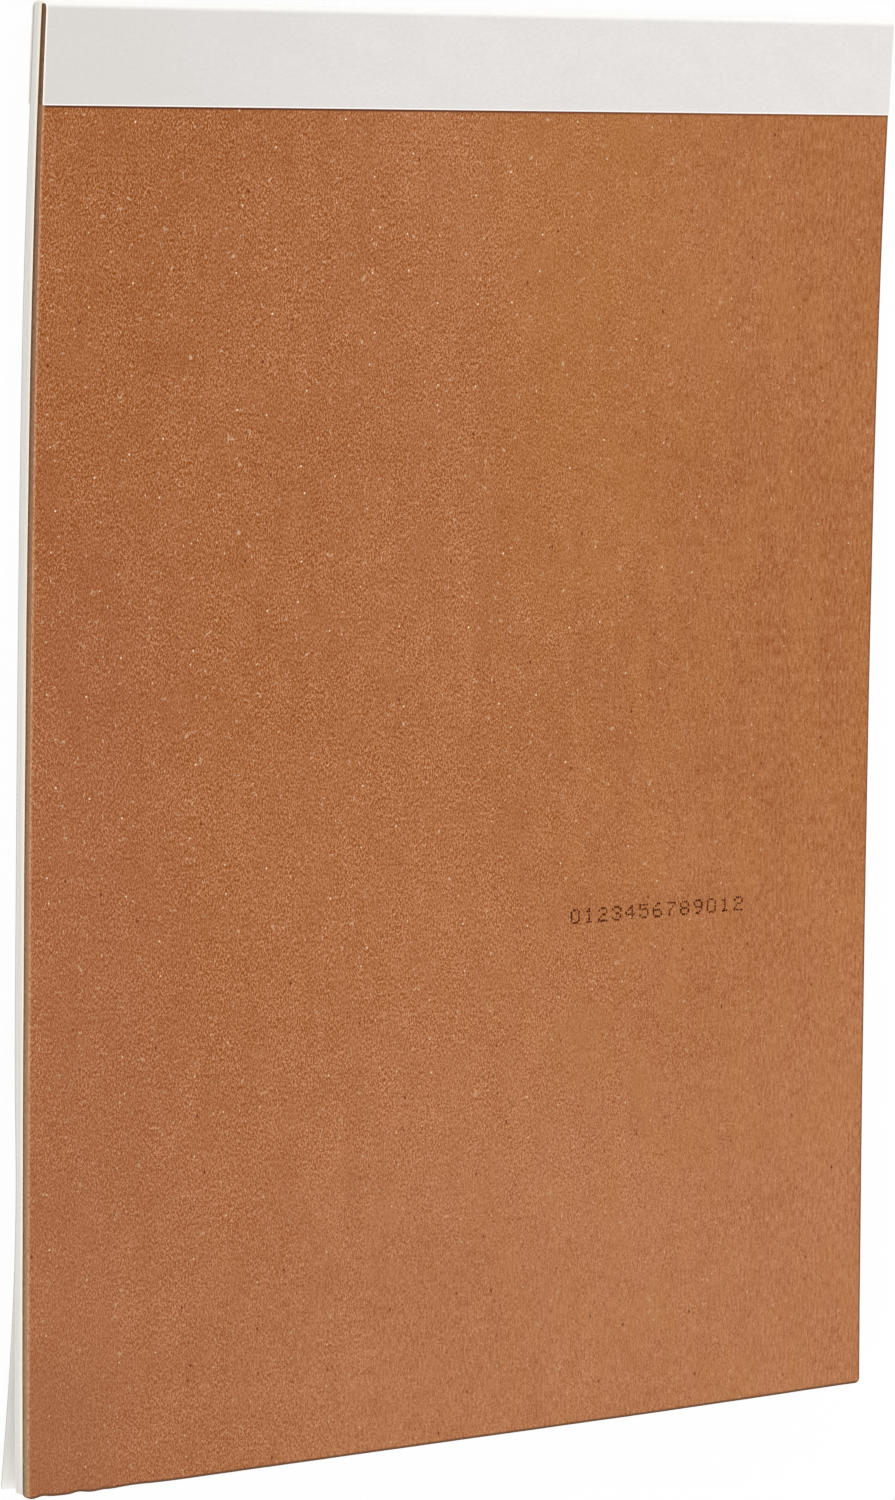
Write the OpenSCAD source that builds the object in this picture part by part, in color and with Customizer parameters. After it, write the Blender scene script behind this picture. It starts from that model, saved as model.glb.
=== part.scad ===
// Canvas paper pad, lying on its front cover with the backing board up.
// X runs across the pad, Y from the foot to the taped head, Z up out of the board.
// The pad keeps its bow: the board's face is hollow, and the free foot of the cover springs away.

/* [Pad] */
// Width of the board, the sheets and the cover
pad_w = 228.6; // [120:0.1:460]
// Height of the pad, from its foot to its head
pad_h = 304.8; // [200:0.1:610]

/* [Backing board] */
// Thickness of the board
board_t = 1.8; // [0.8:0.1:4]
// Radius worn onto the two corners at the foot
board_corner_r = 1.3; // [0.3:0.1:6]

/* [Canvas sheets] */
// Number of sheets in the block
sheet_count = 10; // [5:1:60]
// Thickness of one sheet
sheet_t = 0.28; // [0.15:0.01:0.6]
// How far the sheets stop short of the board's foot
sheet_inset = 0.7; // [0:0.1:3]

/* [Front cover] */
// Thickness of the cover card
cover_t = 0.3; // [0.15:0.05:0.8]
// How far the cover stops short of the board's foot
cover_inset = 0.9; // [0:0.1:3]
// How far the cover's foot springs away from the sheets
cover_lift = 4.8; // [1:0.1:12]
// Length of cover that bends away
cover_lift_l = 53; // [40:1:120]

/* [Tape and glue] */
// Thickness of the binding tape
tape_t = 0.18; // [0.08:0.01:0.4]
// How far the tape reaches down each face from the head
tape_flap = 20.3; // [10:0.1:40]
// How far the tape runs past the right side of the pad
tape_overhang = 0.3; // [0.1:0.1:2]
// Thickness of the glue on the sheets' head edges, at its middle
glue_t = 0.4; // [0.2:0.05:1.5]
// Length over which the head's two corners are pressed round
head_round = 1.2; // [0.3:0.1:3]

/* [Bow] */
// Depth of the board's hollow at mid height
bow_mid = 2.45; // [0:0.05:6]
// How much deeper the hollow is towards the head than at mid height
bow_head = 1.1; // [0:0.05:2]
// How much deeper the hollow is towards both ends than at mid height
bow_ends = 0.8; // [0:0.05:2]

/* [Hidden] */
block_t = sheet_count * sheet_t;
pad_t = board_t + block_t + cover_t;
// Depth by which the cover is pressed flat where the pad rests on it
press_t = 0.03;
// Share of the height above which the bow's belly can touch the table
belly_from = 0.25;
// Steps along the body, along a tape flap, and across each layer's rounded head edge
body_steps = 36;
flap_steps = 3;
head_steps = 6;
// Roundness of the head: 2 is an ellipse, more is squarer
head_power = 2.5;
// Sides of a whole circle in the board's worn corners
corner_sides = 48;
// Overrun of a cutter past the face it cuts
cut_extra = 1;
left_x = -(pad_w + tape_overhang) / 2;

board_colour = "#b07047";
sheet_colour = "#dcdcd5";
cover_colour = "#d9d5ce";
glue_colour = "#e6e2d4";
tape_colour = "#e2dedc";

function unit(v) = v / norm(v);
function reversed(list) = [for (i = [len(list) - 1:-1:0]) list[i]];
function tail(list) = [for (i = [1:len(list) - 1]) list[i]];

// Heights up the pad at which its faces bend. The tape's edge falls on the one at tape_step.
stations = concat(
    [for (i = [0:body_steps]) i * (pad_h - tape_flap) / body_steps],
    [for (i = [1:flap_steps]) pad_h - tape_flap + i * tape_flap / flap_steps]
);
tape_step = body_steps;
last = body_steps + flap_steps;

// Depth of the hollow at height v
function bow(v) = let (s = v / pad_h, q = 2 * s - 1)
    4 * s * (1 - s) * (bow_mid + bow_head * q + bow_ends * q * q);

// The board's face as [height, level], and the direction and inward normal of each of its facets
face = [for (v = stations) [v, -bow(v)]];
along = [for (i = [0:last - 1]) unit(face[i + 1] - face[i])];
inward = [for (t = along) [t[1], -t[0]]];

// Offset at each station that keeps every facet of a deeper layer parallel to the face
mitre = [for (i = [0:last])
    i == 0 ? inward[0] :
    i == last ? inward[last - 1] :
    (inward[i - 1] + inward[i]) / (1 + inward[i - 1] * inward[i])];

function layer_face(d, first, end) = [for (i = [first:end]) face[i] + mitre[i] * d];
function at_foot(e, d) = face[0] + along[0] * e + inward[0] * d;
function at_head(e, d) = face[last] + along[last - 1] * e + inward[last - 1] * d;

// The cover's free foot bends away as a strip held at one end does
function lift(v) = let (t = max(0, 1 - v / cover_lift_l)) cover_lift * t * t * (3 - t) / 2;

// The rounded head is a superellipse across the pad's thickness, as [reach past the sheets, depth]
head_reach = head_round + glue_t;
function head_angle(d) = let (k = 2 * d / pad_t - 1) sign(k) * asin(pow(abs(k), head_power / 2));
function head_point(a, grow) = [
    (head_reach + grow) * pow(cos(a), 2 / head_power) - head_round,
    pad_t / 2 + (pad_t / 2 + grow) * sign(a) * pow(abs(sin(a)), 2 / head_power)
];
function head_angles(d0, d1) = [for (i = [0:head_steps])
    head_angle(d0) + (head_angle(d1) - head_angle(d0)) * i / head_steps];
function head_edge(d0, d1) = [for (a = head_angles(d0, d1))
    let (p = head_point(a, 0)) at_head(min(p[0], 0), p[1])];

// One layer between depths d0 and d1, its foot cut back by inset and lifted away there
function layer(d0, d1, inset, lifts) = concat(
    [at_foot(inset, d0 + lifts * lift(inset))],
    [for (i = [1:last - 1]) face[i] + mitre[i] * (d0 + lifts * lift(stations[i]))],
    head_edge(d0, d1),
    [for (i = [last - 1:-1:1]) face[i] + mitre[i] * (d1 + lifts * lift(stations[i]))],
    [at_foot(inset, d1 + lifts * lift(inset))]
);

board_profile = layer(0, board_t, 0, 0);
block_profile = layer(board_t, board_t + block_t, sheet_inset, 0);
cover_profile = layer(board_t + block_t, pad_t, cover_inset, 1);

all_head_angles = concat(
    head_angles(0, board_t),
    tail(head_angles(board_t, board_t + block_t)),
    tail(head_angles(board_t + block_t, pad_t))
);
head_curve = [for (a = all_head_angles) head_point(a, 0)];

// The glue fills what lies between the sheets' cut edges and the tape
proud = [for (i = [0:len(head_curve) - 1]) if (head_curve[i][0] > 0) i];
glue_first = proud[0];
glue_last = proud[len(proud) - 1];
glue_profile = concat(
    [for (i = [glue_first - 1:glue_last + 1]) at_head(head_curve[i][0], head_curve[i][1])],
    [for (i = [glue_last:-1:glue_first]) at_head(0, head_curve[i][1])]
);

tape_inside = concat(
    layer_face(0, tape_step, last - 1),
    [for (p = head_curve) at_head(p[0], p[1])],
    reversed(layer_face(pad_t, tape_step, last - 1))
);
tape_outside = concat(
    layer_face(-tape_t, tape_step, last - 1),
    [for (a = all_head_angles) let (p = head_point(a, tape_t)) at_head(p[0], p[1])],
    reversed(layer_face(pad_t + tape_t, tape_step, last - 1))
);
tape_profile = concat(tape_inside, reversed(tape_outside));

// The pad lies on the cover's foot edge and on the belly of its bow or on its tape
cover_foot = at_foot(cover_inset, pad_t + lift(cover_inset));
underside = concat(cover_profile, tape_outside);
rest_slope = min([for (p = underside) if (p[0] > pad_h * belly_from) (p - cover_foot)[1] / (p - cover_foot)[0]]);
rest_angle = atan(rest_slope);
function turned(p) = [
    p[0] * cos(rest_angle) + p[1] * sin(rest_angle),
    p[1] * cos(rest_angle) - p[0] * sin(rest_angle)
];
floor_z = turned(cover_foot)[1] + press_t;
outline_y = [for (p = concat(board_profile, underside)) turned(p)[0]];
middle_y = (min(outline_y) + max(outline_y)) / 2;
function laid(p) = let (q = turned(p)) [q[0] - middle_y, max(0, q[1] - floor_z)];

// A side view carried across the pad from its left side
module across(profile, width) {
    translate([left_x, 0, 0])
        rotate([90, 0, 90])
            linear_extrude(height = width)
                polygon([for (p = profile) laid(p)]);
}

// What wear has taken off one corner at the board's foot, for side -1 or 1
module worn_corner(side) {
    corner = laid(face[0]);
    slope = laid(face[1]) - corner;
    translate([left_x + pad_w * (1 + side) / 2, corner[0], corner[1]])
        rotate([atan2(slope[1], slope[0]), 0, 0])
            translate([-side * board_corner_r, board_corner_r, -board_t - cut_extra])
                difference() {
                    translate([min(0, side) * (board_corner_r + cut_extra), -board_corner_r - cut_extra, 0])
                        cube([board_corner_r + cut_extra, board_corner_r + cut_extra, board_t + 2 * cut_extra]);
                    cylinder(r = board_corner_r, h = board_t + 2 * cut_extra, $fn = corner_sides);
                }
}

module backing_board() {
    color(board_colour)
        difference() {
            across(board_profile, pad_w);
            worn_corner(-1);
            worn_corner(1);
        }
}

module canvas_sheets() {
    color(sheet_colour) across(block_profile, pad_w);
}

module front_cover() {
    color(cover_colour) across(cover_profile, pad_w);
}

module spine_glue() {
    color(glue_colour) across(glue_profile, pad_w);
}

module binding_tape() {
    color(tape_colour) across(tape_profile, pad_w + tape_overhang);
}

backing_board();
canvas_sheets();
front_cover();
spine_glue();
binding_tape();
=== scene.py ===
# A canvas paper pad lying face down: bowed board back, bound sheets, sprung front cover, taped head.
import math

import bpy
import numpy as np
from mathutils import Matrix, Vector


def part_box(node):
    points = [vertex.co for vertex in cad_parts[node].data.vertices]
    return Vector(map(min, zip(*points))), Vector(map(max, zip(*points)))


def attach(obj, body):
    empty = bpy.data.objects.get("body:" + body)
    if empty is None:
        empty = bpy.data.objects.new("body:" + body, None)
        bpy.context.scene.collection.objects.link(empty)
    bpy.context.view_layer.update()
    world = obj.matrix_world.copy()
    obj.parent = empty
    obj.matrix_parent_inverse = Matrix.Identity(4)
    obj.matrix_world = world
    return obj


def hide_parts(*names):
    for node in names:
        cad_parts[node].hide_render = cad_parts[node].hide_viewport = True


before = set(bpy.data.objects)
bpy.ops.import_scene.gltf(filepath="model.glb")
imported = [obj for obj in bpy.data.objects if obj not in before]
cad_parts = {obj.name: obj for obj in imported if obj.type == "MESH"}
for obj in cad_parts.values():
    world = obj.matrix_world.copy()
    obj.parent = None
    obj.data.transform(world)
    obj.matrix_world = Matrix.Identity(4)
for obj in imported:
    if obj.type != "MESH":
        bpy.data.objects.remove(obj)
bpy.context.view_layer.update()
print("frame loaded")

mm = 0.001
boardLow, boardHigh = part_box("backing_board")

# Shape of the whole pad, in millimetres. The board's face is depth 0 and depth grows towards the cover.
pad = {
    "width": (boardHigh[0] - boardLow[0]) / mm,
    "height": 304.8,
    "boardThick": 1.8,
    "sheetCount": 10,
    "sheetThick": 0.28,
    "coverThick": 0.3,
    "sheetInset": 0.7,
    "coverInset": 0.9,
    "coverLift": 4.8,
    "coverLiftLength": 53.0,
    "tapeThick": 0.18,
    "tapeFlap": 20.3,
    "tapeOverhang": 0.3,
    "glueThick": 0.4,
    "headRound": 1.2,
    "headPower": 2.5,
    "lastRow": 4.0,  # a piece's last line below its head
    "bowMid": 2.45,
    "bowHead": 1.1,
    "bowEnds": 0.8,
}
blockThick = pad["sheetCount"] * pad["sheetThick"]
coverDepth = pad["boardThick"] + blockThick
padThick = coverDepth + pad["coverThick"]


# depth of the hollow: 4 s (1 - s) (mid + head q + ends q^2), s the share of the height and q = 2 s - 1
def bow(v):
    s = v / pad["height"]
    q = 2 * s - 1
    return 4 * s * (1 - s) * (pad["bowMid"] + pad["bowHead"] * q + pad["bowEnds"] * q * q)


# slope of the hollow: the derivative of the product above by the height
def bowSlope(v):
    s = v / pad["height"]
    q = 2 * s - 1
    curve = pad["bowMid"] + pad["bowHead"] * q + pad["bowEnds"] * q * q
    rise = 2 * pad["bowHead"] + 4 * pad["bowEnds"] * q
    return (4 * (1 - 2 * s) * curve + 4 * s * (1 - s) * rise) / pad["height"]


# lift of the cover's foot: that of a strip held at one end, lift t^2 (3 - t) / 2,
# t from 0 where the lift starts to 1 at the foot
def coverRise(v):
    t = np.clip(1 - v / pad["coverLiftLength"], 0, None)
    return pad["coverLift"] * t * t * (3 - t) / 2


# side view of a point: its height on the bowed face, then its depth along the face's inward normal;
# past the foot or the head the face goes on straight
def sideView(v, d):
    held = np.clip(v, 0, pad["height"])
    slope = -bowSlope(held)
    length = np.sqrt(1 + slope * slope)
    past = v - held
    return held + (past + d * slope) / length, -bow(held) + (past * slope - d) / length


# The pad leans by the line through its cover's foot and the lowest part of its belly,
# which is looked for above the lower quarter
footY, footZ = sideView(pad["coverInset"], padThick + coverRise(pad["coverInset"]))
bellyV = np.linspace(pad["height"] / 4, pad["height"], 2000)
bellyY, bellyZ = sideView(bellyV, padThick)
lean = math.atan(np.min((bellyZ - footZ) / (bellyY - footY)))


# turned by that lean, in the side view
def leant(y, z):
    return y * math.cos(lean) + z * math.sin(lean), z * math.cos(lean) - y * math.sin(lean)


# The board's own box gives where the leaning pad stands in the frame
cornerY, cornerZ = leant(*sideView(np.array([0.0, 0.0]), np.array([0.0, pad["boardThick"]])))
shiftY = float(cornerY.min()) - boardLow[1] / mm
shiftZ = float(cornerZ.max()) - boardHigh[2] / mm
centreX = (boardLow[0] + boardHigh[0]) / 2 / mm


# from across, height and depth in millimetres to the frame in metres:
# bent, leant, moved, and pressed flat on the floor
def place(x, v, d):
    y, z = leant(*sideView(v, d))
    z = np.maximum(z - shiftZ, 0)
    return np.stack([x + centreX, y - shiftY, z], axis=-1) * mm


# reach of the rounded head past the sheets at depth d, by a superellipse:
# ((reach + round) / full)^n + |2 d / t - 1|^n = 1, t the pad's thickness
def headReach(d):
    level = np.clip(np.abs(2 * d / padThick - 1), 0, 1)
    full = pad["headRound"] + pad["glueThick"]
    return full * (1 - level ** pad["headPower"]) ** (1 / pad["headPower"]) - pad["headRound"]


# Camera, from the photograph's own perspective of the pad
shot = {
    "pitch": 5.757,
    "yaw": 38.669,
    "roll": -1.079,
    "offset": (3.39, -148.23, -1492.579),  # mm, of the pad's foot centre from the lens
    "focal": 6946.0,  # in pixels of the photograph
    "longSide": 1500,  # the photograph's height in pixels
    "sensor": 36.0,
    "clip": (0.05, 20.0),  # m
}
padToRow = Matrix.Translation((centreX * mm, -shiftY * mm, -shiftZ * mm)) @ Matrix.Rotation(-lean, 4, "X")
turn = (
    Matrix.Rotation(math.radians(shot["roll"]), 4, "Z")
    @ Matrix.Rotation(math.radians(shot["pitch"]), 4, "X")
    @ Matrix.Rotation(math.radians(shot["yaw"]), 4, "Y")
)
camera = bpy.data.objects.new("camera", bpy.data.cameras.new("camera"))
bpy.context.collection.objects.link(camera)
camera.data.sensor_width = shot["sensor"]
camera.data.lens = shot["focal"] * shot["sensor"] / shot["longSide"]
camera.data.clip_start, camera.data.clip_end = shot["clip"]
camera.matrix_world = padToRow @ (Matrix.Translation(Vector(shot["offset"]) * mm) @ turn).inverted()
bpy.context.scene.camera = camera
print("camera placed")


# Wraps a node's output, so that plain arithmetic on values adds Math nodes
class Shade:
    def __init__(self, tree, socket=None):
        self.tree = tree
        self.socket = socket

    # one node of any kind: its settings first, then the values or links of its sockets
    def node(self, kind, settings=None, inputs=None, out=0):
        made = self.tree.nodes.new(kind)
        for key, value in (settings or {}).items():
            setattr(made, key, value)
        for key, value in (inputs or {}).items():
            if isinstance(value, Shade):
                self.tree.links.new(value.socket, made.inputs[key])
            else:
                made.inputs[key].default_value = value
        return Shade(self.tree, made.outputs[out])

    def maths(self, operation, a, b=0.0):
        return self.node("ShaderNodeMath", {"operation": operation}, {0: a, 1: b})

    def __add__(self, other):
        return self.maths("ADD", self, other)

    def __radd__(self, other):
        return self.maths("ADD", other, self)

    def __sub__(self, other):
        return self.maths("SUBTRACT", self, other)

    def __rsub__(self, other):
        return self.maths("SUBTRACT", other, self)

    def __mul__(self, other):
        return self.maths("MULTIPLY", self, other)

    def __rmul__(self, other):
        return self.maths("MULTIPLY", other, self)

    def __abs__(self):
        return self.maths("ABSOLUTE", self)

    def max(self, other):
        return self.maths("MAXIMUM", self, other)

    def min(self, other):
        return self.maths("MINIMUM", self, other)

    def sin(self):
        return self.maths("SINE", self)

    # 0 below low, 1 above high, smooth between; low above high turns it round
    def step(self, low, high):
        settings = {"interpolation_type": "SMOOTHSTEP"}
        return self.node("ShaderNodeMapRange", settings, {"Value": self, "From Min": low, "From Max": high})

    # this vector in units of a feature's size along each axis, in mm, the features turned about Z in degrees
    def stretched(self, size, degrees=0.0):
        inputs = {"Vector": self, "Scale": size, "Rotation": (0, 0, math.radians(degrees))}
        return self.node("ShaderNodeMapping", {"vector_type": "TEXTURE"}, inputs)

    # noise of a feature's size, its number of finer layers and their strength
    def noise(self, size, detail, rough):
        inputs = {"Vector": self, "Scale": 1 / size, "Detail": detail, "Roughness": rough}
        return self.node("ShaderNodeTexNoise", None, inputs)

    # the same that varies only across and up, which costs less
    def flatNoise(self, size=1.0, detail=1.0, rough=0.5):
        inputs = {"Vector": self, "Scale": 1 / size, "Detail": detail, "Roughness": rough}
        return self.node("ShaderNodeTexNoise", {"noise_dimensions": "2D"}, inputs)

    # flat cells of unit size: distance to the cell's point, and a value drawn at random for each cell
    def cells(self):
        inputs = {"Vector": self, "Scale": 1.0}
        near = self.node("ShaderNodeTexVoronoi", {"voronoi_dimensions": "2D"}, inputs)
        tint = Shade(self.tree, near.socket.node.outputs["Color"])
        return near, tint.node("ShaderNodeSeparateColor", None, {0: tint})

    # this vector's part along one axis
    def part(self, axis):
        return self.node("ShaderNodeSeparateXYZ", None, {0: self}, axis)

    # from this colour to another by a factor
    def mix(self, other, factor):
        return factor.blend(self, other)

    # one colour at 0 and another at 1, by this value
    def blend(self, first, second):
        return self.node("ShaderNodeMix", {"data_type": "RGBA"}, {0: self, 6: first, 7: second}, 2)


# sRGB 0-255, as seen, to the linear colour that a shader takes
def paint(red, green, blue):
    def linear(c):
        c /= 255
        return c / 12.92 if c <= 0.04045 else ((c + 0.055) / 1.055) ** 2.4

    return (linear(red), linear(green), linear(blue), 1.0)


# A material with its Principled shader, and its object coordinates in millimetres
def startMaterial(name, roughness, specular):
    material = bpy.data.materials.new(name)
    material.use_nodes = True
    tree = material.node_tree
    surface = tree.nodes["Principled BSDF"]
    surface.inputs["Roughness"].default_value = roughness
    surface.inputs["Specular IOR Level"].default_value = specular
    shade = Shade(tree)
    coords = shade.node("ShaderNodeTexCoord", out="Object")
    spot = shade.node("ShaderNodeVectorMath", {"operation": "SCALE"}, {0: coords, "Scale": 1 / mm})
    return material, surface, shade, spot


# A value or colour into one of the shader's sockets
def join(shade, value, surface, name):
    shade.tree.links.new(value.socket, surface.inputs[name])


# A relief of a given height in millimetres
def relief(shade, surface, height, deep):
    bump = shade.node("ShaderNodeBump", None, {"Strength": 1.0, "Distance": deep * mm, "Height": height})
    join(shade, bump, surface, "Normal")


# A value that the mesh holds at its vertices
def attribute(shade, name):
    return shade.node("ShaderNodeAttribute", {"attribute_name": name}, out="Fac")


# Brown board: pressed fibre with pale and dark flecks, painted shade towards the left, a painted sheen, a
# painted highlight and painted shade on its rims, and ply lines and painted shade on its cut sides
boardLook = {
    "dark": paint(142, 71, 6),
    "pale": paint(214, 150, 106),
    # painted sheen, greyer and paler, towards the foot and the right
    "worn": paint(200, 158, 132),
    "paleFleck": paint(250, 222, 184),
    "darkFleck": paint(106, 42, 4),
    "stain": paint(145, 87, 57),
    "ochre": paint(192, 132, 66),
    "dust": paint(172, 112, 92),
    "olive": paint(180, 122, 64),
    "side": paint(160, 114, 83),
    "sideFoot": paint(154, 125, 97),
    # ply lines and painted shade on the cut sides
    "sidePlyAndShade": paint(92, 66, 46),
    # painted highlight on the left rim
    "rimHighlight": paint(214, 164, 126),
    # painted shade on the right and foot rims
    "rimShade": paint(94, 66, 44),
    # painted shadow under the tape's edge, partly a glue line
    "tapeLine": paint(104, 58, 36),
    # grains: the size of a feature across and up in mm, and its turn in degrees
    "fine": ((0.32, 0.52, 1), 32),
    "crossed": ((0.32, 0.52, 1), -32),
    "upright": ((0.27, 0.75, 1), 0),
    "long": ((0.62, 2.1, 1), 0),
    # parts of the tone, which goes from dark at 0 to pale at 1
    "level": 0.375,
    "grain": 1.4,
    "mottle": 0.14,
    "cloud": 0.22,
    "streak": 0.07,
    # painted shade towards the left
    "leftShade": 0.10,
    "middleDarker": 0.022,
    "rightDarker": 0.02,
    "lowPaler": 0.02,
    # flecks: the size of their cells in mm and its turn, the distance from the cell's point at which a fleck
    # ends and the one at which it is full, in cells, and the draws from and to which a cell has a fleck
    "paleFlecks": (
        ((4.8, 4.8, 1), 0, (0.042, 0.02), (0.7, 1.2)),
        ((9, 9, 1), 0, (0.027, 0.02), (0.45, 0.9)),
        ((3.4, 13, 1), 6, (0.036, 0.018), (0.66, 1.1)),
        ((3.6, 11, 1), -48, (0.036, 0.018), (0.66, 1.1)),
    ),
    "darkFlecks": ((9, 15, 1), 8, (0.038, 0.016), (0.5, 1.05)),
    "relief": 0.05,
}


def boardMaterial():
    material, surface, shade, spot = startMaterial("brownBoard", 0.9, 0.15)
    # places across and up the board, in mm from the frame's origin, which a step goes between
    across, up = spot.part("X"), spot.part("Y")
    # fine grain lying at three angles, and longer, softer grain where the board is plainer,
    # which is towards the right and the foot, and in patches
    grains = [spot.stretched(*boardLook[kind]).flatNoise() for kind in ("fine", "crossed", "upright", "long")]
    grain, crossGrain, upGrain, longGrain = grains
    calm = (across.step(-10, 110) * 0.6).max(up.step(-60, -130) * (0.12 + 0.33 * across.step(-90, 0)))
    patches = spot.stretched((9, 15, 1)).flatNoise()
    rough = (1 - calm * 1.1) * (0.4 + patches * 1.2)
    mottle = spot.flatNoise(48, 2, 0.55)
    cloud = spot.stretched((5.5, 7, 1)).flatNoise(1, 3, 0.65)
    streak = spot.stretched((5, 60, 1)).flatNoise()
    # the paler of two crossed fibres shows, so pale grains stand out more than dark ones
    fibre = (grain.max(crossGrain) - 0.56) * 1.5 + (upGrain - 0.5)
    tone = boardLook["level"] + fibre * rough * boardLook["grain"] + (longGrain - 0.5) * (calm + 0.1)
    for noise, kind in ((mottle, "mottle"), (cloud, "cloud"), (streak, "streak")):
        tone = tone + (noise - 0.5) * boardLook[kind]
    # painted shade, darker towards the left; darker at the middle of its height, most of all on the right;
    # paler below that
    tone = tone - boardLook["leftShade"] * across.step(0, -114)
    darker = boardLook["middleDarker"] + boardLook["rightDarker"] * across.step(-60, 60)
    tone = tone - darker * up.step(-50, 10) * up.step(112, 60)
    tone = tone + boardLook["lowPaler"] * up.step(-40, -70) * up.step(-125, -95) * across.step(-60, 0)
    colour = tone.blend(boardLook["dark"], boardLook["pale"])
    # a painted sheen, greyer towards the foot and more on the right; ochre right of the middle, dusty at the
    # left, and yellower in patches towards the right
    hue = spot.stretched((9, 20, 1)).flatNoise(1, 2, 0.6)
    for tint, share in (
        ("worn", (0.06 + 0.05 * across.step(-110, 110)) * up.step(-20, -130)),
        ("ochre", across.step(-10, 20) * across.step(80, 35) * up.step(-10, 70) * 0.12),
        ("dust", across.step(-60, -105) * up.step(70, 20) * 0.13),
        ("olive", hue.step(0.42, 0.66) * across.step(-30, 60) * 0.2),
    ):
        colour = colour.mix(boardLook[tint], share)

    def flecksOf(size, degrees, reach, draw):
        near, pick = spot.stretched(size, degrees).cells()
        return near.step(*reach) * pick.step(*draw)

    # curled fibres, which are short pieces of the level lines of a noise, then pale dots and short fibres
    level = spot.flatNoise(2.6)
    flecks = abs(level - 0.5).step(0.02, 0.006) * spot.flatNoise(1.9).step(0.6, 0.72) * 0.38
    for kind in boardLook["paleFlecks"]:
        flecks = flecks.max(flecksOf(*kind))
    # fewer show where the board is plain and towards the foot
    fewer = (1 - calm * 0.8) * (1 - 0.4 * up.step(10, -90))
    colour = colour.mix(boardLook["paleFleck"], flecks * fewer)
    colour = colour.mix(boardLook["darkFleck"], flecksOf(*boardLook["darkFlecks"]))
    # a faint reddish stain near the left corner of the foot
    colour = colour.mix(boardLook["stain"], across.step(-84, -106) * up.step(-112, -136) * 0.28)
    # a narrow painted shadow, partly a glue line, where the tape's edge meets the board; this and the sides
    # go by mm from an edge
    fromTape = attribute(shade, "fromTape")
    colour = colour.mix(boardLook["tapeLine"], fromTape.step(0.62, 0.34) * (1 - 0.45 * across.step(-40, 110)))
    # cut sides with ply lines; painted shade darker towards the sheets and under the tape, darker towards the
    # head, below the rim
    side, deep, fromSide = attribute(shade, "side"), attribute(shade, "deep"), attribute(shade, "fromSide")
    ply = spot.stretched((1.2, 1.2, 0.14)).noise(1, 2, 0.7)
    speckle = spot.stretched((0.6, 0.7, 0.5)).noise(1, 2, 0.6)
    taped = fromTape.step(0.05, -0.05)
    dark = (deep + (ply - 0.5) * 0.9).step(0.25, 1.1) + up.step(-60, 110) * 0.35 + taped * 0.3
    dark = dark + (speckle - 0.5) * 1.1
    cut = up.step(-150, 20).blend(boardLook["sideFoot"], boardLook["side"]).mix(boardLook["sidePlyAndShade"], dark)
    # the rim has a speckled painted highlight on the left; on the right and at the foot it has painted shade
    worn = fromSide.step(0.85, 0.25) * across.step(1, -1) * (1 - taped)
    foot = attribute(shade, "fromFoot").step(0.7, 0.35)
    # painted shade along the right and foot rims, reaching down the cut sides
    rimShadeMask = (fromSide.step(0.75, 0.3) * across.step(-1, 1) * 0.8).max(foot)
    colour = colour.mix(boardLook["rimHighlight"], worn * (upGrain + speckle * 2 - 0.95))
    colour = colour.mix(boardLook["rimShade"], rimShadeMask * 0.85)
    cut = cut.mix(boardLook["rimShade"], rimShadeMask * deep.step(0.7, 0.25))
    colour = colour.mix(cut, side.step(0.5, 0.95))
    join(shade, colour, surface, "Base Color")
    relief(shade, surface, grain, boardLook["relief"])
    return material


# Primed canvas sheets: a plain weave on their faces; the cut edges of the first ones have a cream painted
# highlight
sheetLook = {
    "face": paint(232, 231, 226),
    "edge": paint(219, 216, 210),
    "edgeDark": paint(207, 205, 200),
    # cream painted highlight on the edges nearest the board
    "creamHighlight": paint(243, 229, 213),
    "threadPitch": 0.62,
    "relief": 0.08,
}


# height of a plain weave: |sin| of each thread's phase, the two directions over and under by turns
def weave(spot, pitch):
    across = spot.part("X") * (math.pi / pitch)
    up = spot.part("Y") * (math.pi / pitch)
    over = abs((up * 0.5).sin())
    return abs(across.sin()) * over + abs(up.sin()) * (1 - over)


def sheetMaterial():
    material, surface, shade, spot = startMaterial("canvasPaper", 0.8, 0.3)
    side, tint, creamHighlight = attribute(shade, "side"), attribute(shade, "tint"), attribute(shade, "creamHighlight")
    fray = spot.stretched((0.8, 0.8, 0.25)).noise(1, 2, 0.7)
    edge = (tint + (fray - 0.5) * 0.7).blend(sheetLook["edge"], sheetLook["edgeDark"])
    # plainer and darker where the edges end at the foot; the first sheets' edges carry a cream painted
    # highlight, fainter there
    atFoot = spot.part("Y").step(-138, -150)
    edge = edge.mix(sheetLook["edgeDark"], atFoot * 0.6).mix(sheetLook["creamHighlight"], creamHighlight * (1 - atFoot * 0.65))
    colour = edge.mix(sheetLook["face"], side.step(0.7, 0.3))
    join(shade, colour, surface, "Base Color")
    relief(shade, surface, weave(spot, sheetLook["threadPitch"]) * (1 - side), sheetLook["relief"])
    return material


# Cover card: smooth and off-white with a trace of fibre, painted light paler towards its foot, grey on its
# cut edge
coverLook = {
    "card": paint(248, 246, 242),
    "cardWarm": paint(244, 241, 236),
    # painted light, paler towards the foot
    "foot": paint(255, 253, 247),
    "edge": paint(180, 179, 175),
    "relief": 0.02,
}


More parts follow.
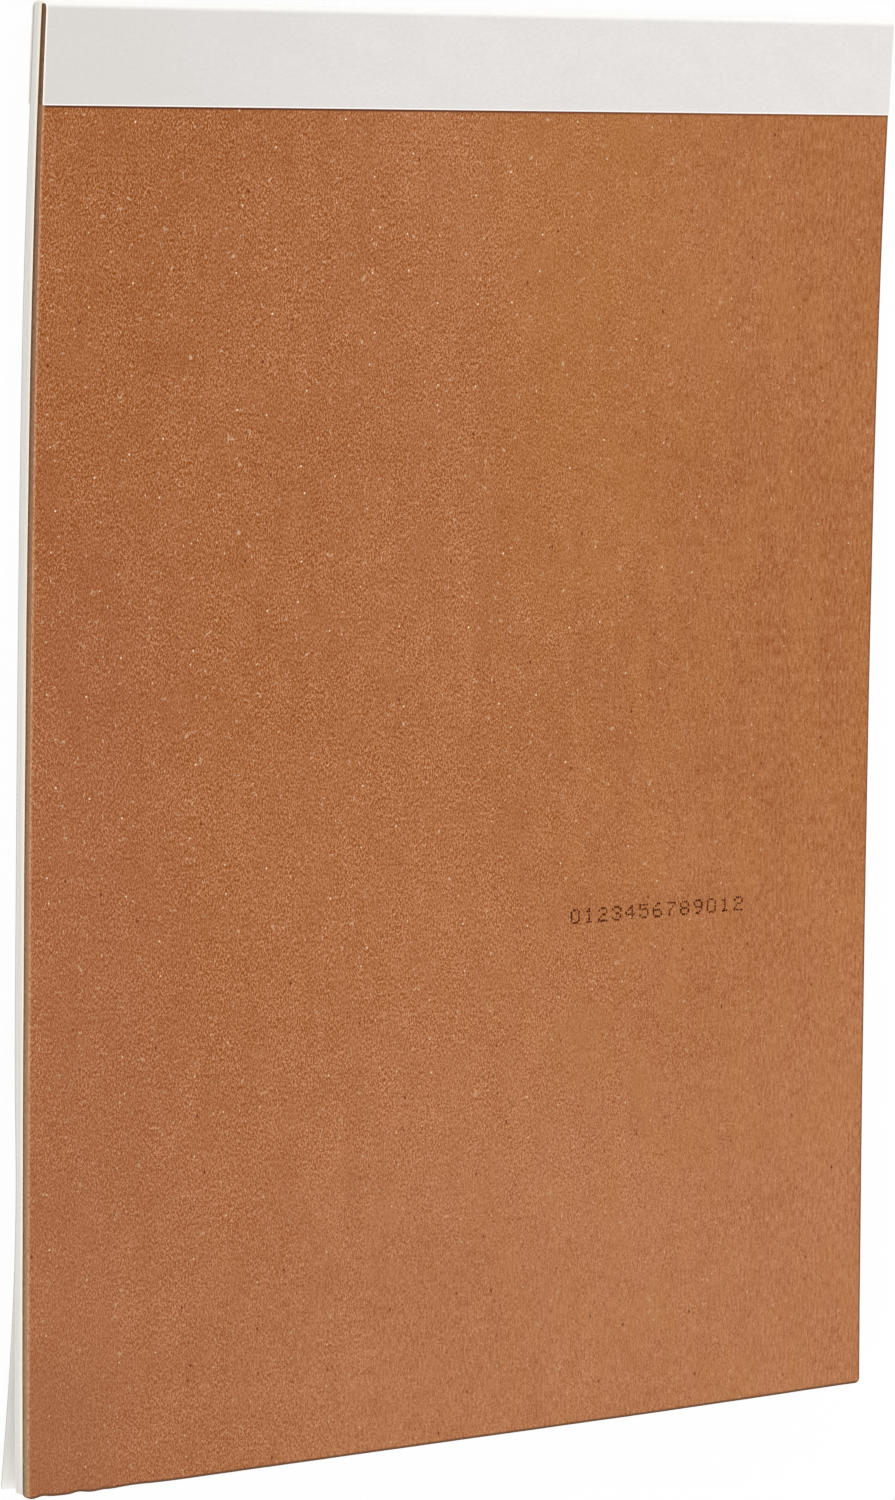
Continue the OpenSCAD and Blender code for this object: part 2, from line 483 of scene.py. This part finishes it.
def coverMaterial():
    material, surface, shade, spot = startMaterial("coverCard", 0.7, 0.3)
    cloud = spot.flatNoise(14, 2, 0.6)
    fibre = spot.stretched((0.8, 2.3, 1)).flatNoise(1, 2, 0.65)
    colour = (cloud * 0.7 + fibre * 0.3).step(0.3, 0.7).blend(coverLook["card"], coverLook["cardWarm"])
    # painted light: paler towards the foot
    colour = colour.mix(coverLook["foot"], spot.part("Y").step(-138, -151) * 0.9)
    colour = colour.mix(coverLook["edge"], attribute(shade, "side").step(0.4, 0.9))
    join(shade, colour, surface, "Base Color")
    relief(shade, surface, fibre, coverLook["relief"])
    return material


# Paper tape: matte white with soft blotches and creases, painted shade towards the left, a crisp white cut
# edge that is partly painted highlight, and a painted highlight over the rounded head
tapeLook = {
    "paper": paint(233, 229, 227),
    "shade": paint(224, 220, 217),
    # painted shade towards the left
    "left": paint(213, 210, 204),
    # the cut edge's white, partly painted highlight
    "cut": paint(254, 249, 244),
    # painted highlight over the head's rounded fold
    "stretched": paint(253, 251, 248),
    "leftShadeShare": 0.55,
    "line": 0.3,  # width of the cut edge's line and of its soft side, in mm
    "softLine": 0.08,
    # the painted highlight over the fold: where it starts, is full, is full last and ends, in mm past the
    # flap's end
    "foldHighlight": (-1.05, 0.25, 2.15, 3.75),
    "relief": 0.05,
}


def tapeMaterial():
    material, surface, shade, spot = startMaterial("paperTape", 0.78, 0.2)
    fibre = spot.stretched((1.1, 0.6, 0.6), 20).noise(1, 2, 0.6)
    cloud = spot.stretched((16, 7, 7), -12).noise(1, 3, 0.6)
    colour = (fibre * 0.65 + cloud * 0.35).step(0.25, 0.75).blend(tapeLook["paper"], tapeLook["shade"])
    # painted shade, darker towards the left
    colour = colour.mix(tapeLook["left"], spot.part("X").step(0, -130) * tapeLook["leftShadeShare"])
    # bright along its cut edges, partly paler cut paper and partly painted highlight, and a painted highlight
    # over the head's first corner, where the strip rounds the fold
    fromCut = attribute(shade, "fromEdge").min(attribute(shade, "fromEnd"))
    cutAndHighlight = fromCut.step(tapeLook["line"] + tapeLook["softLine"], tapeLook["line"] - tapeLook["softLine"])
    start, full, last, end = (pad["tapeFlap"] + past for past in tapeLook["foldHighlight"])
    fromBack = attribute(shade, "fromBack")
    foldHighlight = fromBack.step(start, full) * fromBack.step(end, last)
    colour = colour.mix(tapeLook["stretched"], foldHighlight).mix(tapeLook["cut"], cutAndHighlight)
    join(shade, colour, surface, "Base Color")
    relief(shade, surface, cloud * 0.15 + fibre * 0.6, tapeLook["relief"])
    return material


# Padding glue, seen only as a thin line at the ends of the head
glueLook = {"pale": paint(236, 232, 220), "dark": paint(222, 216, 200), "relief": 0.05}


def glueMaterial():
    material, surface, shade, spot = startMaterial("paddingGlue", 0.45, 0.4)
    cloud = spot.noise(1.2, 2, 0.6)
    join(shade, cloud.blend(glueLook["pale"], glueLook["dark"]), surface, "Base Color")
    relief(shade, surface, cloud, glueLook["relief"])
    return material


# Jet ink: dark reddish brown, thin in places
inkLook = {"full": paint(80, 24, 2), "thin": paint(120, 54, 20)}


def inkMaterial():
    material, surface, shade, spot = startMaterial("jetInk", 0.9, 0.05)
    thin = spot.flatNoise(0.5).step(0.5, 0.8)
    join(shade, thin.blend(inkLook["full"], inkLook["thin"]), surface, "Base Color")
    return material


sharpAngle = math.radians(40)  # edges that bend more than this are shaded sharp


# A mesh from vertices, polygons of one size and named values at the vertices
def makeMesh(name, points, quads, values, material):
    mesh = bpy.data.meshes.new(name)
    mesh.vertices.add(len(points))
    mesh.vertices.foreach_set("co", points.astype(np.float32).ravel())
    mesh.loops.add(quads.size)
    mesh.loops.foreach_set("vertex_index", quads.astype(np.int32).ravel())
    mesh.polygons.add(len(quads))
    mesh.polygons.foreach_set("loop_start", np.arange(0, quads.size, quads.shape[1], dtype=np.int32))
    mesh.update(calc_edges=True)
    mesh.validate()
    mesh.polygons.foreach_set("use_smooth", np.ones(len(quads), dtype=bool))
    for key, value in values.items():
        layer = mesh.attributes.new(key, "FLOAT", "POINT")
        layer.data.foreach_set("value", np.asarray(value, dtype=np.float32).ravel())
    mesh.set_sharp_from_angle(angle=sharpAngle)
    mesh.materials.append(material)
    piece = bpy.data.objects.new(name, mesh)
    bpy.context.collection.objects.link(piece)
    return piece


# quads of a grid of rows by columns, numbered from first
def gridQuads(rows, columns, first=0):
    j, i = np.meshgrid(np.arange(rows - 1), np.arange(columns - 1), indexing="ij")
    a = (first + j * columns + i).ravel()
    return np.stack([a, a + 1, a + columns + 1, a + columns], axis=1)


# the numbers of a grid's border, once round from its first corner
def borderOf(rows, columns):
    foot = np.arange(columns)
    right = np.arange(1, rows) * columns + columns - 1
    head = (rows - 1) * columns + np.arange(columns - 2, -1, -1)
    left = np.arange(rows - 2, 0, -1) * columns
    return np.concatenate([foot, right, head, left])


# lines from low to high, closer together near both ends: a share of cosine spacing mixed with even spacing
def spaced(low, high, count, ends=0.6):
    t = np.linspace(0, 1, count)
    t = (1 - ends) * t + ends * (1 - np.cos(math.pi * t)) / 2
    return low + (high - low) * t


# square corners pressed round: (a, b) in the corner's square goes to
# (a sqrt(1 - b^2 / 2), b sqrt(1 - a^2 / 2))
def roundCorner(fromSide, fromFoot, radius):
    a = np.clip(1 - fromSide / radius, 0, 1)
    b = np.clip(1 - fromFoot / radius, 0, 1)
    moveA = a * (1 - np.sqrt(1 - b * b / 2)) * radius
    moveB = b * (1 - np.sqrt(1 - a * a / 2)) * radius
    return moveA, moveB


# A flat slab as a closed surface: a grid for each face and rings round the edge between them.
# Each ring is (outset in mm, share of the thickness), and nothing goes past the rounded head.
# It gives the vertices in mm, the quads, and each vertex's share of the outset and of the thickness.
def slab(xs, vs, top, low, rings, corners, wobble):
    x, v = np.meshgrid(xs, vs)
    left, right, foot = xs[0], xs[-1], vs[0]
    for side, radius in ((-1, corners[0]), (1, corners[1])):
        away = (x - left) if side < 0 else (right - x)
        moveX, moveV = roundCorner(away, v - foot, radius)
        x = x - side * moveX
        v = v + moveV
    x, v = wobble(x, v)
    rows, columns = x.shape
    border = borderOf(rows, columns)
    bx, bv = x.ravel()[border], v.ravel()[border]
    tx, tv = np.roll(bx, -1) - np.roll(bx, 1), np.roll(bv, -1) - np.roll(bv, 1)
    size = np.hypot(tx, tv)
    nx, nv = tv / size, -tx / size
    topD, lowD = top(x, v), low(x, v)
    bTop, bLow = topD.ravel()[border], lowD.ravel()[border]
    points = [np.stack([x.ravel(), v.ravel(), topD.ravel()], axis=1)]
    side = [np.zeros(x.size)]
    deep = [np.zeros(x.size)]
    widest = max(out for out, share in rings)
    for out, share in rings:
        points.append(np.stack([bx + nx * out, bv + nv * out, bTop + (bLow - bTop) * share], axis=1))
        side.append(np.full(len(border), out / widest))
        deep.append(np.full(len(border), share))
    points.append(np.stack([x.ravel(), v.ravel(), lowD.ravel()], axis=1))
    side.append(np.zeros(x.size))
    deep.append(np.ones(x.size))
    flat = np.concatenate(points)
    flat[:, 1] = np.minimum(flat[:, 1], pad["height"] + np.minimum(headReach(flat[:, 2]), 0))
    quads = [gridQuads(rows, columns)]
    lowFirst = len(flat) - x.size
    ringFirst = [x.size + k * len(border) for k in range(len(rings))]
    loops = [border] + [first + np.arange(len(border)) for first in ringFirst] + [lowFirst + border]
    for upper, lower in zip(loops[:-1], loops[1:]):
        quads.append(np.stack([upper, lower, np.roll(lower, -1), np.roll(upper, -1)], axis=1))
    quads.append(gridQuads(rows, columns, lowFirst)[:, ::-1])
    return flat, np.concatenate(quads), np.concatenate(side), np.concatenate(deep)


# rings of a slab whose two edges are eased by quarter rounds of their own radii
def easedRings(thick, topRound, lowRound, steps):
    turns = np.linspace(0, math.pi / 2, steps + 1)[1:]
    widest = max(topRound, lowRound)

    def ring(radius, t):
        return widest - radius + radius * math.sin(t), radius * (1 - math.cos(t)) / thick

    upper = [ring(topRound, t) for t in turns]
    lower = [ring(lowRound, t) for t in turns[::-1]]
    return upper + [(out, 1 - share) for out, share in lower]


# a sum of sines: share sin(rate x + phase) for each term
def waves(x, terms):
    return sum(share * np.sin(x * rate + phase) for share, rate, phase in terms)


# Backing board
board = {
    "columns": 110,
    "rows": 120,
    "fineLength": 24,  # from the left side, where the lines are a fine pitch apart for the nicks
    "finePitch": 0.6,
    "ends": (0.5, 0.85),  # share of cosine spacing in its lines across and up
    "topRound": 0.14,
    "lowRound": 0.08,
    "easeSteps": 3,
    "middleRings": (0.3, 0.5, 0.7, 0.85),
    "headShort": 0.3,
    "footCorners": (1.25, 1.05),
    # cuts into the foot: distance from its left corner, half width and depth, in mm
    "nicks": (
        (4.8, 5.5, 0.26),
        (3.9, 1.5, 0.32),
        (13.0, 1.9, 0.42),
        (18.9, 1.6, 0.14),
        (27, 5, 0.24),
        (190, 12, 0.08),
        (224, 24, 0.36),
    ),
    "footWave": 0.04,
    "footFade": 4,
    "footSines": ((1, 0.21, 1.0), (0.6, 0.53, 0.3), (0.4, 1.27, 2.0)),
    "sideWave": 0.03,
    "sideFade": 3,
    "sideSines": ((1, 0.13, 0), (0.6, 0.37, 1.2)),
}


# what the knife and wear have taken off the foot: a sum of sines moved and scaled to go from 0 to 1,
# times its depth, and bell-shaped nicks, depth exp(-((x - far) / wide)^2)
def footCut(x):
    cut = board["footWave"] * (2 + waves(x, board["footSines"])) / 4
    for far, wide, depth in board["nicks"]:
        cut = cut + depth * np.exp(-(((x + pad["width"] / 2 - far) / wide) ** 2))
    return cut


# the same marks moved into the face, where they fade as exp(-distance / fade), and smaller waves on the sides
def boardWobble(x, v):
    half = pad["width"] / 2
    sideCut = board["sideWave"] * (1.6 + waves(v, board["sideSines"])) / 2
    inwards = np.exp((-half - x) / board["sideFade"]) - np.exp((x - half) / board["sideFade"])
    return x + sideCut * inwards, v + footCut(x) * np.exp(-v / board["footFade"])


def buildBoard():
    out = max(board["topRound"], board["lowRound"])
    half = pad["width"] / 2 - out
    fineEnd = board["fineLength"] - half
    fine = np.arange(-half, fineEnd, board["finePitch"])
    xs = np.concatenate([fine, spaced(fineEnd, half, board["columns"], board["ends"][0])])
    lastRow = pad["height"] - pad["lastRow"]
    vs = spaced(out, lastRow, board["rows"], board["ends"][1])
    vs = np.concatenate([vs, [pad["height"] - board["headShort"]]])
    steps = board["easeSteps"]
    rings = easedRings(pad["boardThick"], board["topRound"], board["lowRound"], steps)
    rings = rings[:steps] + [(out, share) for share in board["middleRings"]] + rings[steps:]
    flat, quads, side, deep = slab(
        xs,
        vs,
        lambda x, v: 0 * x,
        lambda x, v: 0 * x + pad["boardThick"],
        rings,
        board["footCorners"],
        boardWobble,
    )
    values = {
        "side": side,
        "deep": deep,
        "fromTape": pad["height"] - pad["tapeFlap"] - flat[:, 1],
        "fromSide": pad["width"] / 2 - np.abs(flat[:, 0]),
        "fromFoot": flat[:, 1] - footCut(flat[:, 0]),
    }
    points = place(flat[:, 0], flat[:, 1], flat[:, 2])
    piece = makeMesh("backingBoard", points, quads, values, boardMaterial())
    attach(piece, "root")
    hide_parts("backing_board")


buildBoard()
print("board made")

# Where the left edges of the sheets and the cover stand in: height, half width and depth of each bell,
# and how far into the sheet they fade, in mm
leftInsets = ((64, 17, 0.42), (150, 90, 0.14), (296, 34, 0.36))
leftFade = 5


# an edge moved in by a share of those bells, depth exp(-((v - height) / wide)^2), fading into the sheet
def leftInset(x, v, share):
    cut = 0 * v
    for height, wide, depth in leftInsets:
        cut = cut + depth * np.exp(-(((v - height) / wide) ** 2))
    return x + share * cut * np.exp((-pad["width"] / 2 - x) / leftFade)


# Bound sheets
sheets = {
    "columns": 16,
    "rows": 70,
    "air": 0.012,
    "sideInset": 0.09,
    "sideScatter": 0.0144,
    "footScatter": 0.048,
    "sideWave": 0.02,
    "footWave": 0.03,
    "footFade": 20,
    "cornerRound": (0.9, 0.3),
    "rings": ((0.0, 0.001), (0.012, 0.25), (0.012, 0.75), (0.0, 0.999)),
    # a cream painted highlight
    "creamHighlight": (1.0, 1.0, 0.5, 0.25),  # share of cream on the edges of the sheets nearest the board
    "seed": 7,
}


def buildSheets():
    random = np.random.default_rng(sheets["seed"])
    parts = []
    first = 0
    half = pad["width"] / 2 - sheets["sideInset"]
    xs = spaced(-half, half, sheets["columns"])
    for k in range(pad["sheetCount"]):
        shift = random.normal() * sheets["sideScatter"]
        inset = pad["sheetInset"] + random.normal() * sheets["footScatter"]
        phase = random.uniform(0, 6.28, 3)
        vs = spaced(inset, pad["height"] - pad["lastRow"], sheets["rows"])
        vs = np.concatenate([vs, [pad["height"]]])
        topD = pad["boardThick"] + k * pad["sheetThick"] + sheets["air"] / 2
        lowD = topD + pad["sheetThick"] - sheets["air"]

        # each sheet lies a little to one side, and its edges wave slowly
        def wobble(x, v):
            sideWave = sheets["sideWave"] * waves(v, ((1, 0.045, phase[0]), (0.5, 0.16, phase[1])))
            footWave = sheets["footWave"] * waves(x, ((1, 0.06, phase[2]),)) * np.exp(-v / sheets["footFade"])
            return leftInset(x + shift + sideWave, v, k / pad["sheetCount"]), v + footWave

        flat, quads, side, deep = slab(
            xs,
            vs,
            lambda x, v: 0 * x + topD,
            lambda x, v: 0 * x + lowD,
            sheets["rings"],
            sheets["cornerRound"],
            wobble,
        )
        side = np.where((deep > 0) & (deep < 1), 1.0, side)
        tint = np.full(len(flat), random.uniform(0.0, 0.8))
        creamHighlight = np.full(len(flat), sheets["creamHighlight"][k] if k < len(sheets["creamHighlight"]) else 0.0)
        parts.append((place(flat[:, 0], flat[:, 1], flat[:, 2]), quads + first, side, tint, creamHighlight))
        first += len(flat)
    points, quads, side, tint, creamHighlight = (np.concatenate(part) for part in zip(*parts))
    values = {"side": side, "tint": tint, "creamHighlight": creamHighlight}
    piece = makeMesh("canvasSheets", points, quads, values, sheetMaterial())
    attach(piece, "root")
    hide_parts("canvas_sheets")


buildSheets()
print("sheets made")

# Front cover
cover = {"columns": 24, "rows": 130, "edgeRound": 0.08, "easeSteps": 2, "footCorners": (0.6, 0.6)}


def buildCover():
    half = pad["width"] / 2 - cover["edgeRound"]
    xs = spaced(-half, half, cover["columns"])
    foot = pad["coverInset"] + cover["edgeRound"]
    vs = spaced(foot, pad["height"] - pad["lastRow"], cover["rows"])
    vs = np.concatenate([vs, [pad["height"]]])
    rings = easedRings(pad["coverThick"], cover["edgeRound"], cover["edgeRound"], cover["easeSteps"])
    flat, quads, side, _ = slab(
        xs,
        vs,
        lambda x, v: coverDepth + coverRise(v),
        lambda x, v: padThick + coverRise(v),
        rings,
        cover["footCorners"],
        lambda x, v: (leftInset(x, v, 1.0), v),
    )
    points = place(flat[:, 0], flat[:, 1], flat[:, 2])
    piece = makeMesh("frontCover", points, quads, {"side": side}, coverMaterial())
    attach(piece, "root")
    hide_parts("front_cover")


buildCover()
print("cover made")

# Binding tape
tape = {
    "columns": 60,
    "ends": 0.7,
    "flapSteps": 14,
    "headSteps": 28,
    "air": 0.006,
    "thinner": 0.02,  # than the solid, so that it stays inside
}


# the strip's side view, a distance outside the pad: up the back flap, round the superellipse of the head,
# down the front flap
def tapeLine(grow):
    flapV = np.linspace(pad["height"] - pad["tapeFlap"], pad["height"] - pad["headRound"], tape["flapSteps"])
    a = np.linspace(-math.pi / 2, math.pi / 2, tape["headSteps"])[1:-1]
    power = 2 / pad["headPower"]
    full = pad["headRound"] + pad["glueThick"] + grow
    headV = pad["height"] - pad["headRound"] + full * np.cos(a) ** power
    headD = padThick / 2 + (padThick / 2 + grow) * np.sign(a) * np.abs(np.sin(a)) ** power
    v = np.concatenate([flapV, headV, flapV[::-1]])
    d = np.concatenate([np.full(len(flapV), -grow), headD, np.full(len(flapV), padThick + grow)])
    return v, d


def buildTape():
    innerV, innerD = tapeLine(tape["air"])
    outerV, outerD = tapeLine(pad["tapeThick"] - tape["thinner"])
    loopV = np.concatenate([outerV, innerV[::-1]])
    loopD = np.concatenate([outerD, innerD[::-1]])
    count = len(loopV)
    half = pad["width"] / 2
    xs = spaced(-half, half + pad["tapeOverhang"], tape["columns"], tape["ends"])
    x, v = np.meshgrid(xs, loopV, indexing="ij")
    d = np.broadcast_to(loopD, x.shape)
    points = place(x.ravel(), v.ravel(), d.ravel())
    i, j = np.meshgrid(np.arange(tape["columns"] - 1), np.arange(count), indexing="ij")
    this, beside, nextJ = i * count, (i + 1) * count, (j + 1) % count
    walls = np.stack([this + j, beside + j, beside + nextJ, this + nextJ], axis=-1)
    k = np.arange(len(outerV) - 1)
    cap = np.stack([k, k + 1, count - 2 - k, count - 1 - k], axis=1)
    last = (tape["columns"] - 1) * count
    quads = np.concatenate([walls.reshape(-1, 4), cap, (cap + last)[:, ::-1]])
    # how far each line of the strip is from its edge on the back, along its own side view:
    # the sum of its steps
    fromBack = np.concatenate([[0], np.cumsum(np.hypot(np.diff(outerV), np.diff(outerD)))])
    fromBack = np.concatenate([fromBack, fromBack[::-1]])
    values = {
        "fromEnd": np.minimum(x - xs[0], xs[-1] - x),
        "fromBack": np.broadcast_to(fromBack, x.shape),
        "fromEdge": np.broadcast_to(np.minimum(fromBack, fromBack.max() - fromBack), x.shape),
    }
    piece = makeMesh("bindingTape", points, quads, values, tapeMaterial())
    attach(piece, "root")
    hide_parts("binding_tape")


buildTape()
print("tape made")

# Glue, in its own shape from the frame
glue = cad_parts["spine_glue"]
glue.data.materials.clear()
glue.data.materials.append(glueMaterial())

# Printed row of plain counting digits, each of five by seven dots
printed = {
    "digits": "0123456789012",
    "left": 28.9,
    "middleHeight": 111.15,
    "columnPitch": 0.54,
    "rowPitch": 0.46,
    "digitPitch": 3.88,
    "middleRow": 3,
    "dotRadius": 0.255,
    "dotScatter": 0.14,
    "scatter": 0.04,
    "lift": 0.012,
    "sides": 8,
    "seed": 3,
}
dotRows = {
    "0": "01110 10001 10001 10001 10001 10001 01110",
    "1": "00100 01100 00100 00100 00100 00100 01110",
    "2": "01110 10001 00001 00110 01000 10000 11111",
    "3": "01110 10001 00001 00110 00001 10001 01110",
    "4": "00010 00110 01010 10010 11111 00010 00010",
    "5": "11111 10000 11110 00001 00001 10001 01110",
    "6": "00110 01000 10000 11110 10001 10001 01110",
    "7": "11111 00001 00010 00100 01000 01000 01000",
    "8": "01110 10001 10001 01110 10001 10001 01110",
    "9": "01110 10001 10001 01111 00001 00010 01100",
}


def buildPrint():
    cells = np.array([[[c == "1" for c in row] for row in dotRows[d].split()] for d in printed["digits"]])
    digit, row, column = np.nonzero(cells)
    random = np.random.default_rng(printed["seed"])
    count = len(digit)
    x = printed["left"] + digit * printed["digitPitch"] + column * printed["columnPitch"]
    v = printed["middleHeight"] + (printed["middleRow"] - row) * printed["rowPitch"]
    x = x + random.normal(0, printed["scatter"], count)
    v = v + random.normal(0, printed["scatter"], count)
    size = printed["dotRadius"] * (1 + random.normal(0, printed["dotScatter"], count))
    a = np.linspace(0, 2 * math.pi, printed["sides"], endpoint=False)
    ringX = x[:, None] + size[:, None] * np.cos(a)
    ringV = v[:, None] + size[:, None] * np.sin(a)
    d = np.full(ringX.shape, -printed["lift"])
    points = place(ringX.ravel(), ringV.ravel(), d.ravel())
    polygons = np.arange(count * printed["sides"]).reshape(count, printed["sides"])
    piece = makeMesh("printedRow", points, polygons, {}, inkMaterial())
    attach(piece, "root")


buildPrint()
print("print made")

# Floor, sky and lamps
studio = {
    "floorSize": 6.0,
    "floorColour": (0.92, 0.92, 0.92, 1),
    "floorGlow": 0.955,
    "white": (1, 1, 1, 1),
    "sky": 0.54,
    # each lamp's place in m, side in m and power in W
    "lamps": {
        "keyLamp": ((0.95, -0.25, 1.0), 0.9, 8),
        "sideLamp": ((-1.7, -0.55, 0.45), 1.4, 20),
        "headLamp": ((0.1, 1.9, 0.6), 1.2, 12),
    },
}


# 1 for the rays that see the backdrop: the camera's, and those mirrored or let through
def whiteRays(shade):
    path = shade.node("ShaderNodeLightPath", out="Is Camera Ray")
    outputs = path.socket.node.outputs
    glossy = Shade(shade.tree, outputs["Is Glossy Ray"])
    through = Shade(shade.tree, outputs["Is Transmission Ray"])
    return path.max(glossy).max(through)


def buildStage():
    size = studio["floorSize"] / 2
    corners = [(-size, -size, 0), (size, -size, 0), (size, size, 0), (-size, size, 0)]
    material = bpy.data.materials.new("floor")
    material.use_nodes = True
    tree = material.node_tree
    tree.nodes.remove(tree.nodes["Principled BSDF"])
    shade = Shade(tree)
    plain = shade.node("ShaderNodeBsdfDiffuse", None, {"Color": studio["floorColour"]})
    glow = shade.node("ShaderNodeEmission", None, {"Color": studio["white"], "Strength": 1.0})
    share = whiteRays(shade) * studio["floorGlow"]
    seen = shade.node("ShaderNodeMixShader", None, {0: share, 1: plain, 2: glow})
    tree.links.new(seen.socket, tree.nodes["Material Output"].inputs["Surface"])
    mesh = bpy.data.meshes.new("floor")
    mesh.from_pydata(corners, [], [(0, 1, 2, 3)])
    mesh.materials.append(material)
    floor = bpy.data.objects.new("floor", mesh)
    bpy.context.collection.objects.link(floor)

    world = bpy.data.worlds.new("world")
    bpy.context.scene.world = world
    world.use_nodes = True
    tree = world.node_tree
    shade = Shade(tree)
    sky = shade.node("ShaderNodeBackground", None, {"Color": studio["white"], "Strength": studio["sky"]})
    white = shade.node("ShaderNodeBackground", None, {"Color": studio["white"], "Strength": 1.0})
    seen = shade.node("ShaderNodeMixShader", None, {0: whiteRays(shade), 1: sky, 2: white})
    tree.links.new(seen.socket, tree.nodes["World Output"].inputs["Surface"])


# a square softbox at a place, facing the pad
def softbox(name, spot, size, power):
    lamp = bpy.data.lights.new(name, "AREA")
    lamp.shape = "SQUARE"
    lamp.size = size
    lamp.energy = power
    thing = bpy.data.objects.new(name, lamp)
    bpy.context.collection.objects.link(thing)
    thing.location = spot
    thing.rotation_euler = (-Vector(spot)).to_track_quat("-Z", "Y").to_euler()


buildStage()
for name, lamp in studio["lamps"].items():
    softbox(name, *lamp)
bpy.context.scene.view_settings.view_transform = "Standard"
print("stage lit")
